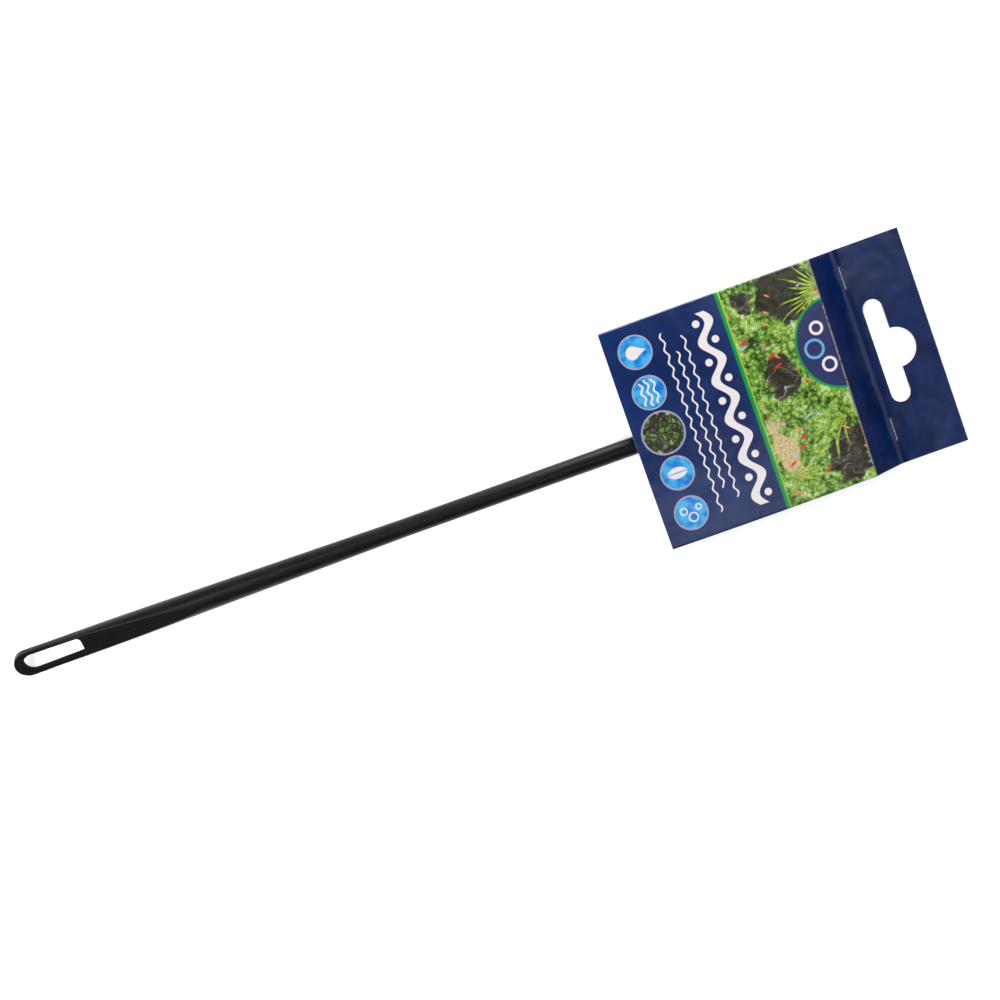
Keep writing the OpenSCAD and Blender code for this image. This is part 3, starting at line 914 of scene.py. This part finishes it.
def slot_ring(side, proud):
    """Outline of the slot at a height over the flat on one side, wider by the edge's slope there"""
    outline = slot_outline(SLOT_EDGE + proud)
    return [rolled(s, u, side * (between(s, FLAT_PROFILE) + proud)) for s, u in outline]


def make_handle(material, slot_material):
    places = [TIP_R * (1 - math.cos(math.radians(a))) for a in steps(4, 90, 16)]
    end_s = HANDLE_END_X - TIP_X - END_CHAMFER
    for reach, count in ((FINE_L, 30), (RUNOUT_S, 20), (TAPER_L, 24), (end_s, 10)):
        places += steps(places[-1], reach, count)[1:]
    rings = [handle_ring(s) for s in places]
    end = [(HANDLE_END_X, y * END_SHARE, AXIS_Z + (z - AXIS_Z) * END_SHARE) for _, y, z in rings[-1]]
    handle = add_mesh("handle_body", *loft(rings + [end]), [material], middle_y=NET_Y)
    levels = ((-1, CUT_OVER), (-1, -SLOT_EDGE), (1, -SLOT_EDGE), (1, CUT_OVER))
    rings = [slot_ring(side, proud) for side, proud in levels]
    cutter = add_mesh("slot_cutter", *loft(rings), [slot_material], middle_y=NET_Y)
    for piece in (handle, cutter):
        finish_mesh(piece)
    cut = handle.modifiers.new("slot", "BOOLEAN")
    cut.object = cutter
    cut.solver = "EXACT"
    cut.material_mode = "TRANSFER"
    bake_modifiers(handle)
    bpy.data.objects.remove(cutter)
    finish_mesh(handle, 32)
    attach(handle, "net")
    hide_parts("handle")


def bake_modifiers(piece):
    """Gives the piece the mesh that its modifiers make"""
    graph = bpy.context.evaluated_depsgraph_get()
    piece.data = bpy.data.meshes.new_from_object(piece.evaluated_get(graph))
    piece.modifiers.clear()


# Card sleeve
FOLD_R = 0.55
INNER_R = 0.15
FOOT_GAP = 0.04
CROWN = 0.35
MOUTH_BOW = 0.18
MOUTH_REACH = 12
LIP_SLANT = 2
SIDE_BOW = 0.2
FOLD_SKEW = 0.7
SLOPE = (SLEEVE_H - TAB_T) / (CREASE_X - FOLD_X)

# Numbers of the sleeve's prints
FRONT, STRIPE, PICTURE, BACK, SIDE, BEVEL = range(6)


def settled(point):
    """Place of a point of the squarely folded sleeve on the real one, which is never quite square:
    the front is crowned, its sides and mouth bow, its fold is askew and the back is cut shorter"""
    x, y, z = point
    share = y / HALF_W
    along = min(1, (x - MOUTH_X) / (FOLD_X - MOUTH_X))
    past = max(0, (x - FOLD_X) / (CREASE_X - FOLD_X))
    near = max(0, 1 - (x - MOUTH_X) / MOUTH_REACH)
    cut = min(1, max(0, (front_low.z - z) / LIP_SLANT)) * near
    bow = (1 - share ** 2) * near
    return (
        x + cut * (WALL_X - MOUTH_X) - MOUTH_BOW * bow + FOLD_SKEW * share * (along ** 4 - past),
        y - SIDE_BOW * share * (2 * along - 1) ** 2 * z / SLEEVE_H,
        z - CROWN * share ** 2 * z / SLEEVE_H,
    )


def sleeve_loop(x, top, inset, radius):
    """Closed section across the sleeve at x, from its back's edge on the +Y side round to it again"""
    half = HALF_W - inset
    low, high = inset, max(top, inset + FOOT_GAP)
    radius = min(radius, (high - low) / 2 * 0.95)
    corners = (
        (half - radius, low + radius, -90), (half - radius, high - radius, 0),
        (radius - half, high - radius, 90), (radius - half, low + radius, 180),
    )
    bends = [arc(radius, start, start + 90, 5, y, z) for y, z, start in corners]
    points = []
    for bend, after, count in zip(bends, bends[1:] + bends[:1], (4, 24) * 2):
        first, last = Vector(bend[-1]), Vector(after[0])
        points += bend + [first.lerp(last, i / count) for i in range(1, count)]
    return [(x, *p) for p in points]


def top_line(inset):
    """(x, height) pairs along the middle of the front, over the fold and down to the crease"""
    bend = math.atan(SLOPE)
    foot_z = TAB_T if inset == 0 else inset + FOOT_GAP
    high = SLEEVE_H - inset
    fold = FOLD_X - inset * math.tan(bend / 2)
    foot = fold + (high - foot_z) / SLOPE
    run = FOLD_R * math.tan(bend / 2)
    line = [(x, high) for x in steps(MOUTH_X, fold - run, 26)]
    line += arc(FOLD_R, 90, 90 - math.degrees(bend), 6, fold - run, high - FOLD_R)[1:]
    start = Vector(line[-1])
    return line + [tuple(start.lerp(Vector((foot, foot_z)), i / 8)) for i in range(1, 9)]


def front_slot(x, normal):
    """Number of the print that a face of the sleeve's outside has"""
    if normal.z < 0.5:
        return BACK if normal.z < -0.5 else SIDE
    if x > FOLD_X + FOLD_R / 2:
        return BEVEL
    off = x - MOUTH_X - LINE_P
    if abs(off) < LINE_W / 2:
        return STRIPE
    return FRONT if off < 0 else PICTURE


def centre_of(points):
    return sum((Vector(p) for p in points), Vector()) / len(points)


def make_sleeve(prints, core, inside):
    outer = [sleeve_loop(x, z, 0, FOLD_R) for x, z in print_stations(top_line(0))]
    inner = [sleeve_loop(x, z, BOARD_T, INNER_R) for x, z in top_line(BOARD_T)]
    points, faces = loft(outer, cap_start=False)
    inner_points, inner_faces = loft(inner, cap_start=False)
    count = len(outer[0])
    shift = len(points)
    rim = [(k, (k + 1) % count, shift + (k + 1) % count, shift + k) for k in range(count)]
    slots = []
    for number, face in enumerate(faces):
        corners = [Vector(points[i]) for i in face]
        middle = centre_of(corners)
        normal = geometry.normal(corners[:3])
        if normal.dot(middle - centre_of(outer[number // count])) < 0:
            normal.negate()
        slots.append(front_slot(middle.x, normal))
    slots += [len(prints)] * len(rim) + [len(prints) + 1] * len(inner_faces)
    faces = faces + rim + [tuple(i + shift for i in face) for face in inner_faces]
    points = [settled(p) for p in points + inner_points]
    sleeve = add_mesh("sleeve_card", points, faces, [*prints, core, inside], slots)
    finish_mesh(sleeve, 50)
    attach(sleeve, "sleeve")
    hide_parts("back_panel", "front_panel", "bevel_panel", "side_wall_left", "side_wall_right")


def print_stations(line):
    """The same line with stations where one print meets the next"""
    return sorted(line + [(MOUTH_X + LINE_P + side * LINE_W / 2, SLEEVE_H) for side in (-1, 1)])


# Hang tab
HOLE_X = 5.8
HOLE_L = 32
HOLE_W = 6
BAY_R = 6.0
NICK_L = 7.4
NICK_W = 0.35
NICK_POINT = 0.3
NICK_DEPTH = 0.3
TAB_LIFT = 0.7
TAB_TWIST = 0.25
PLY_GROOVE = 0.06
ROLL_TOP = 150
STAGGER = 0.8

# Distance from each side of the tab to the cut beside it
NICK_EDGES = {-1: 6.9, 1: 5}

# Heights of the tab's surfaces
LEVELS = {"top": TAB_T, "cut": TAB_T - NICK_DEPTH, "middle": TAB_T / 2, "bottom": 0}

# Numbers of the tab's materials
TOP_PRINT, BACK_PRINT, CORE = range(3)


def hole_outline():
    """Euro slot: a long slot with round ends and a round bay in the middle of its far side"""
    x = CREASE_X + HOLE_X
    half, reach = HOLE_W / 2, (HOLE_L - HOLE_W) / 2
    slot = arc(half, 0, 180, 18, x, reach) + arc(half, 180, 360, 18, x, -reach)
    return slot + arc(BAY_R, -90, 90, 24, x + half)


def nick_outlines():
    """Two short cuts along the crease"""
    outlines = []
    for side, edge in NICK_EDGES.items():
        low, high = sorted((side * (HALF_W - edge), side * (HALF_W - edge - NICK_L)))
        right = CREASE_X + NICK_W
        ends = [(right, low + NICK_POINT), (right, high - NICK_POINT)]
        outlines.append([(CREASE_X, low), *ends, (CREASE_X, high)])
    return outlines


def within(outline, p):
    """True where a point lies inside a closed outline"""
    odd = False
    for (x0, y0), (x1, y1) in zip(outline, outline[1:] + outline[:1]):
        if (y0 > p.y) != (y1 > p.y) and p.x < x0 + (p.y - y0) * (x1 - x0) / (y1 - y0):
            odd = not odd
    return odd


def tab_lift(x, y):
    """How far the tab curls up off the table, more on its +Y side"""
    share = (x - CREASE_X) / (END_X - CREASE_X)
    return TAB_LIFT * share ** 2 * (1 - TAB_TWIST + TAB_TWIST * y / HALF_W)


def tab_triangles():
    """Plan of the tab as triangles: points, and for each triangle its corners and if it is a cut"""
    corners = [(CREASE_X, -HALF_W), (END_X, -HALF_W), (END_X, HALF_W), (CREASE_X, HALF_W)]
    border = []
    for (x0, y0), (x1, y1), count in zip(corners, corners[1:] + corners[:1], (10, 32) * 2):
        border += list(zip(steps(x0, x1, count), steps(y0, y1, count)))[:-1]
    hole, nicks = hole_outline(), nick_outlines()
    points, edges = [], []
    for loop in (border, hole, *nicks):
        first = len(points)
        points += [Vector(p) for p in loop]
        edges += [(first + i, first + (i + 1) % len(loop)) for i in range(len(loop))]
    for i, x in enumerate(steps(CREASE_X, END_X, 12)[1:-1]):
        stagger = i % 2 * STAGGER
        points += [Vector((x, y + stagger)) for y in steps(-HALF_W, HALF_W, 40)[1:-1]]
    plan, _, triangles, *_ = geometry.delaunay_2d_cdt(points, edges, [], 0, 1e-5)
    kept = []
    for face in triangles:
        middle = sum((plan[i] for i in face), Vector((0, 0))) / 3
        if not within(hole, middle):
            kept.append((tuple(face), any(within(nick, middle) for nick in nicks)))
    return plan, kept


def make_tab(top_print, back_print, core):
    plan, triangles = tab_triangles()
    points, faces, slots, numbers = [], [], [], {}

    def corner(i, level, inset=Vector((0, 0))):
        """Point number of a plan point at a level: top, cut, middle or bottom"""
        key = (i, level, tuple(round(c, 3) for c in inset))
        if key not in numbers:
            x, y = plan[i] + inset
            numbers[key] = len(points)
            points.append((x, y, LEVELS[level] + tab_lift(x, y)))
        return numbers[key]

    def add(face, slot):
        faces.append(face)
        slots.append(slot)

    sides = {}
    for face, is_cut in triangles:
        level = "cut" if is_cut else "top"
        add(tuple(corner(i, level) for i in face), CORE if is_cut else TOP_PRINT)
        add(tuple(corner(i, "bottom") for i in reversed(face)), BACK_PRINT)
        for a, b in zip(face, face[1:] + face[:1]):
            sides.setdefault(frozenset((a, b)), []).append((a, b, level))
    for found in sides.values():
        a, b, level = found[0]
        if len(found) == 2:
            if found[1][2] != level:
                add((corner(a, "top"), corner(b, "top"), corner(b, "cut"), corner(a, "cut")), CORE)
            continue
        if max(plan[a].x, plan[b].x) < CREASE_X + 0.01:
            add_roll(points, faces, slots, corner, (a, b, level), plan)
            continue
        along = (plan[b] - plan[a]).normalized()
        inset = Vector((-along.y, along.x)) * PLY_GROOVE
        top, bottom = (corner(a, level), corner(b, level)), (corner(a, "bottom"), corner(b, "bottom"))
        middle = (corner(a, "middle", inset), corner(b, "middle", inset))
        add((*top, middle[1], middle[0]), CORE)
        add((*middle, bottom[1], bottom[0]), CORE)
    tab = add_mesh("hang_tab_card", points, faces, [top_print, back_print, core], slots)
    finish_mesh(tab, 40)
    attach(tab, "hang_tab")
    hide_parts("tab_front_ply", "tab_back_ply")


def add_roll(points, faces, slots, corner, edge, plan):
    """Round edge of the tab about the crease's line, which lies inside the sleeve's foot"""
    a, b, level = edge
    rows = []
    for i in (a, b):
        row = [corner(i, level)]
        for x, z in arc(TAB_T, ROLL_TOP, 270, 8, CREASE_X, TAB_T)[:-1]:
            row.append(len(points))
            points.append((x, plan[i].y, z))
        rows.append(row + [corner(i, "bottom")])
    for k in range(len(rows[0]) - 1):
        faces.append((rows[0][k], rows[1][k], rows[1][k + 1], rows[0][k + 1]))
        slots.append(BACK_PRINT)


# Net head: its sizes follow the part's source
COATED_D = 2.1
LEG_Y = COATED_D / 2 + 0.03
NECK_X = HANDLE_END_X + 3.5
NEAR_X = NECK_X + 7
FAR_X = NEAR_X + 50
LEG_X = HANDLE_END_X - 8
NEAR_W = 44
FAR_W = 58
NECK_R, NEAR_R, FAR_R = 2.5, 12, 11
HEM_START = 5
HEM_R = 1.42
HEM_OPEN = 38
HEM_WANDER = 0.15
HEM_RIPPLE = 0.08
FLANGE_IN = COATED_D / 2 + 3.6
TAPE_T = 0.35
FLANGE_OUT = 1.6
FLANGE_HALVES = (0.62, 0.44, 0.36, 0.34, 0.33, 0.33, 0.32, 0.22)
STITCH_PITCH = 2.8
STITCH_L = 1.9
STITCH_DIP = 0.26
THREAD_D = 0.34

# Rings of a stitch, as shares of its half length, with the shares of the thread's size by
# which it lies up on the tape and narrows at its ends
STITCH_STATIONS = (-1, -0.86, -0.5, 0, 0.5, 0.86, 1)
STITCH_RISE = 0.22
STITCH_TIP = 0.35

# Distance between the points of the wire's path, of the hem's and of the row of stitches
WIRE_STEP, HEM_STEP, ROW_STEP = 2.5, 1.2, 0.4


def loop_corners():
    return [(NEAR_X, -NEAR_W / 2), (FAR_X, -FAR_W / 2), (FAR_X, FAR_W / 2), (NEAR_X, NEAR_W / 2)]


def wire_path():
    corners = [(LEG_X, -LEG_Y), (NECK_X, -LEG_Y), *loop_corners(), (NECK_X, LEG_Y), (LEG_X, LEG_Y)]
    return rounded_path(corners, [0, NECK_R, NEAR_R, FAR_R, FAR_R, NEAR_R, NECK_R, 0])


def hem_path():
    share = (HEM_START - LEG_Y) / (NEAR_W / 2 - LEG_Y)
    start = NECK_X + (NEAR_X - NECK_X) * share
    corners = [(start, -HEM_START), *loop_corners(), (start, HEM_START)]
    return spaced(rounded_path(corners, [0, NEAR_R, FAR_R, FAR_R, NEAR_R, 0]), HEM_STEP)


def inset_path(path, distance):
    """The same line moved to its left"""
    return [p + Vector((-d.y, d.x)) * distance for p, d in zip(path, headings(path))]


def make_wire(material):
    ring = arc(COATED_D / 2, 0, 360, 20)[:-1]
    rings = sweep(spaced(wire_path(), WIRE_STEP), lambda run: ring, AXIS_Z)
    wire = finish_mesh(add_mesh("net_wire_coat", *loft(rings), [material], middle_y=NET_Y))
    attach(wire, "net")
    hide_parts("frame_coating")


def hem_outline(run):
    """Tape round the wire, closing to a flat flange whose free edge wanders a little"""
    wander = noise.noise(Vector((run * 0.35, 3.1, 0.0)))
    ripple = HEM_RIPPLE * noise.noise(Vector((run * 0.6, 8.7, 0.0)))
    body = arc(HEM_R, HEM_OPEN, 360 - HEM_OPEN, 22)
    reach = FLANGE_IN - HEM_WANDER + HEM_WANDER * wander
    lower, upper = [], []
    for u, half in zip(steps(FLANGE_OUT, reach, len(FLANGE_HALVES) - 1), FLANGE_HALVES):
        lift = ripple * (u - FLANGE_OUT) / 3
        lower.append((u, lift - half))
        upper.append((u, lift + half))
    return body + lower + upper[::-1]


def make_hem(material):
    path = hem_path()
    rings = sweep(path, hem_outline, AXIS_Z)
    hem = add_mesh("net_hem", *loft(rings), [material], middle_y=NET_Y)
    lay_uv(hem, lengths(path), lengths([Vector(p) for p in hem_outline(0)]))
    finish_mesh(hem, 60)
    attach(hem, "net")
    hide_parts("hem_tape")


def stitch_rings(middle, along, side):
    """Rings of one stitch on a side of the flange, whose ends dip into the cloth"""
    left = Vector((-along.y, along.x))
    height = TAPE_T + THREAD_D * STITCH_RISE
    rings = []
    for share in STITCH_STATIONS:
        place = middle + along * STITCH_L / 2 * share
        radius = THREAD_D / 2 * (STITCH_TIP if abs(share) == 1 else 1)
        z = AXIS_Z + side * (height - STITCH_DIP * share ** 4)
        rings.append([(*(place + left * a), z + b) for a, b in arc(radius, 0, 360, 8)[:-1]])
    return rings


def make_stitches(material):
    row = spaced(inset_path(hem_path(), (HEM_R + FLANGE_IN) / 2), ROW_STEP)
    run = lengths(row)
    points, faces = [], []
    for number in range(int(run[-1] / STITCH_PITCH)):
        i = next(k for k, length in enumerate(run) if length >= (number + 0.5) * STITCH_PITCH)
        for side in (-1, 1):
            made, skin = loft(stitch_rings(row[i], headings(row)[i], side))
            shift = len(points)
            points += made
            faces += [tuple(k + shift for k in face) for face in skin]
    thread = add_mesh("net_stitches", points, faces, [material], middle_y=NET_Y)
    uv = thread.data.uv_layers.new(name="run")
    for loop in thread.data.loops:
        place = thread.data.vertices[loop.vertex_index].co / MM
        uv.data[loop.index].uv = (place.x + place.y, place.z * 3)
    finish_mesh(thread)
    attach(thread, "net")
    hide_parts("hem_stitching")


# Folded bag: (x, height) of its folds, from the far flange to the near one
BAG_INSET = 0.12
BAG_TOP = bag_high.z - BAG_INSET
BAG_LOW = bag_low.z + BAG_INSET
BAG_MIDDLE = (BAG_TOP + BAG_LOW) / 2
BAG_TURN_X = FAR_X - 9
BAG_BACK_X = NEAR_X + 5.5
BAG_NEAR_X = NEAR_X - 1.2
BAG_END_X = FAR_X - 3
BAG_FOLDS = (
    (FAR_X - 2.9, BAG_TOP), (BAG_BACK_X, BAG_TOP - 0.12), (BAG_BACK_X, BAG_MIDDLE),
    (BAG_TURN_X, BAG_MIDDLE), (BAG_TURN_X, BAG_LOW), (BAG_NEAR_X, BAG_LOW + 0.1),
)
BAG_STEP = 0.9
BAG_LAP = 1.6
BAG_REACH = 1.6
BAG_NECK = 4.0
BAG_WAVE = 0.09
BAG_CRIMP = 0.05
BAG_WANDER = 0.8


def bag_half_width(x):
    """Half width of the bag at x, caught under the flange at both sides"""
    inner = inset_path(hem_path(), FLANGE_IN - BAG_LAP)
    near = [p.y for p in inner if p.y > 0 and abs(p.x - x) < BAG_REACH]
    return max(near) if near else BAG_NECK


def make_bag(material):
    fold_line = spaced([Vector(p) for p in rounded_fold(BAG_FOLDS)], BAG_STEP)
    run = lengths(fold_line)
    ends = [run[0], *run, run[-1]]
    shares = steps(-1, 1, 56)
    rows, area = [], 0.0
    for place, length, before, after in zip(fold_line, run, ends, ends[2:]):
        half = bag_half_width(min(max(place.x, BAG_NEAR_X), BAG_END_X))
        area += half * (after - before)
        row = []
        for share in shares:
            wave = BAG_WAVE * noise.noise(Vector((length * 0.12, share * 5, 1.7)))
            wave += BAG_CRIMP * math.sin(share * 19 + length * 0.05) * (1 - share ** 2)
            edge = BAG_WANDER * noise.noise(Vector((length * 0.2, share, 6.1))) * (1 - share ** 2)
            row.append((place.x + edge, half * share, place.y + wave))
        rows.append(row)
    points, faces = loft(rows, cap_start=False, cap_end=False, closed=False)
    bag = add_mesh("net_bag_cloth", points, faces, [material], middle_y=NET_Y)
    widest = max(p[1] for p in points)
    lay_uv(bag, run, [share * widest for share in shares])
    finish_mesh(bag, 180)
    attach(bag, "net")
    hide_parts("net_bag")


def rounded_fold(folds):
    """A fold line whose turns are half circles of cloth"""
    line = []
    for (x, z), (after_x, after_z) in zip(folds, folds[1:]):
        line.append((x, z))
        if x == after_x:
            radius = (z - after_z) / 2
            towards = -1 if x < (NEAR_X + FAR_X) / 2 else 1
            turn = arc(radius, 90, -90, 8, 0, (z + after_z) / 2)[1:-1]
            line += [(x + towards * a, b) for a, b in turn]
    return line + [folds[-1]]


# Seam: how far it wanders, and shares of its width and height between its threads and on them
SEAM_SWAY = 0.12
SEAM_WIDTHS = (0.72, 0.9)
SEAM_HEIGHTS = (0.7, 0.95)


def make_seam(material):
    """Overlocked seam under the folded bag"""
    low, high = box_mm("bag_seam")
    middle = (low.z + high.z) / 2
    around = arc(1, 0, 360, 14)[:-1]
    rings = []
    for number, x in enumerate(steps(low.x, high.x, 88)):
        half = (high.y - low.y) / 2 * SEAM_WIDTHS[number % 2]
        thick = (high.z - low.z) / 2 * SEAM_HEIGHTS[number % 2]
        sway = SEAM_SWAY * math.sin(x * 0.4)
        rings.append([(x, sway + half * a, middle + thick * b) for a, b in around])
    seam = add_mesh("bag_overlock", *loft(rings), [material], middle_y=NET_Y)
    lay_uv(seam, [i * 0.5 for i in range(len(rings))], [k * 0.25 for k in range(len(rings[0]))])
    finish_mesh(seam, 60)
    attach(seam, "net")
    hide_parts("bag_seam")


def dress(node, material):
    """Gives a CAD node that stays its material"""
    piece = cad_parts[node]
    piece.data.materials.clear()
    piece.data.materials.append(material)


bpy.context.scene.view_settings.view_transform = "Standard"
add_camera()
add_world()
add_floor()
for lamp in LAMPS:
    add_lamp(*lamp)

card_core = board_paint("card_core", BOARD_GREY, BOARD_SHADE)
card_inside = board_paint("card_inside", INSIDE_GREY, INSIDE_SHADE)
navy_side = ink("side_print", NAVY)
navy_back = ink("back_print", NAVY)
# The bevel's ink is painted darker than the front's, as shade
navy_bevel = ink("bevel_print", SHADED_BEVEL_NAVY, True, Specular_IOR_Level=0.02)
navy_tab = ink("tab_print", TAB_NAVY)
front_prints = [front_print(), line_print(), picture_print(), navy_back, navy_side, navy_bevel]
stitch_thread = thread_paint()

glossy_black = handle_paint("handle_black", 0.24, 0.24, 0.4)
matte_black = handle_paint("slot_black", 0.05, 0.6, 0.8)
make_handle(glossy_black, matte_black)
make_sleeve(front_prints, card_core, card_inside)
make_tab(navy_tab, navy_back, card_core)
make_wire(coating_paint())
make_hem(tape_paint())
make_stitches(stitch_thread)
make_bag(mesh_paint())
make_seam(stitch_thread)
dress("frame_wire", steel_paint())
dress("glue_flap", card_inside)
